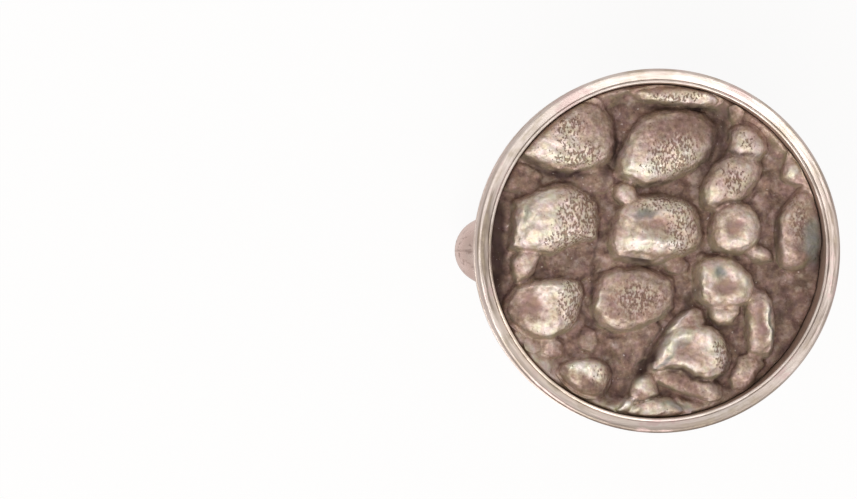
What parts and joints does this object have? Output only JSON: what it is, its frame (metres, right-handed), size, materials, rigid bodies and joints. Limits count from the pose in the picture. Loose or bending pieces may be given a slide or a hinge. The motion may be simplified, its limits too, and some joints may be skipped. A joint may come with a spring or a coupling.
{
  "type": "cufflink",
  "caption": "Round silver cufflink with a cast pebble relief in a polished bezel, on a flat arm with a torpedo toggle that swivels to lock behind the cuff.",
  "frame": {"origin": "centre of the base plate's back face, which lies against the cuff", "axes": "+Z out of the face, +X along the toggle at rest, +Y towards the top of the pictured face"},
  "size_m": [0.0176, 0.0172, 0.0166],
  "materials": {
    "polished_silver": "polished sterling silver with fine handling scratches",
    "oxidised_silver": "cast silver, oxidised dark in the valleys and rubbed bright on the pebbles",
    "spring_steel": "plain tempered strip"
  },
  "bodies": {
    "head": {"base_plate": "polished_silver", "bezel_ring": "polished_silver", "liner_ring": "polished_silver", "relief_plate": "oxidised_silver", "arm": "polished_silver"},
    "toggle": {"toggle_shell_front": "polished_silver", "toggle_shell_rear": "polished_silver", "leaf_spring": "spring_steel", "pivot_rivet": "polished_silver"}
  },
  "joints": [
    {"name": "toggle_swivel", "type": "hinge", "parent": "head", "child": "toggle", "pos_m": [0, 0, -0.011], "axis": [0, -1, 0], "range_deg": [0, 90], "deforming": ["leaf_spring"]}
  ]
}
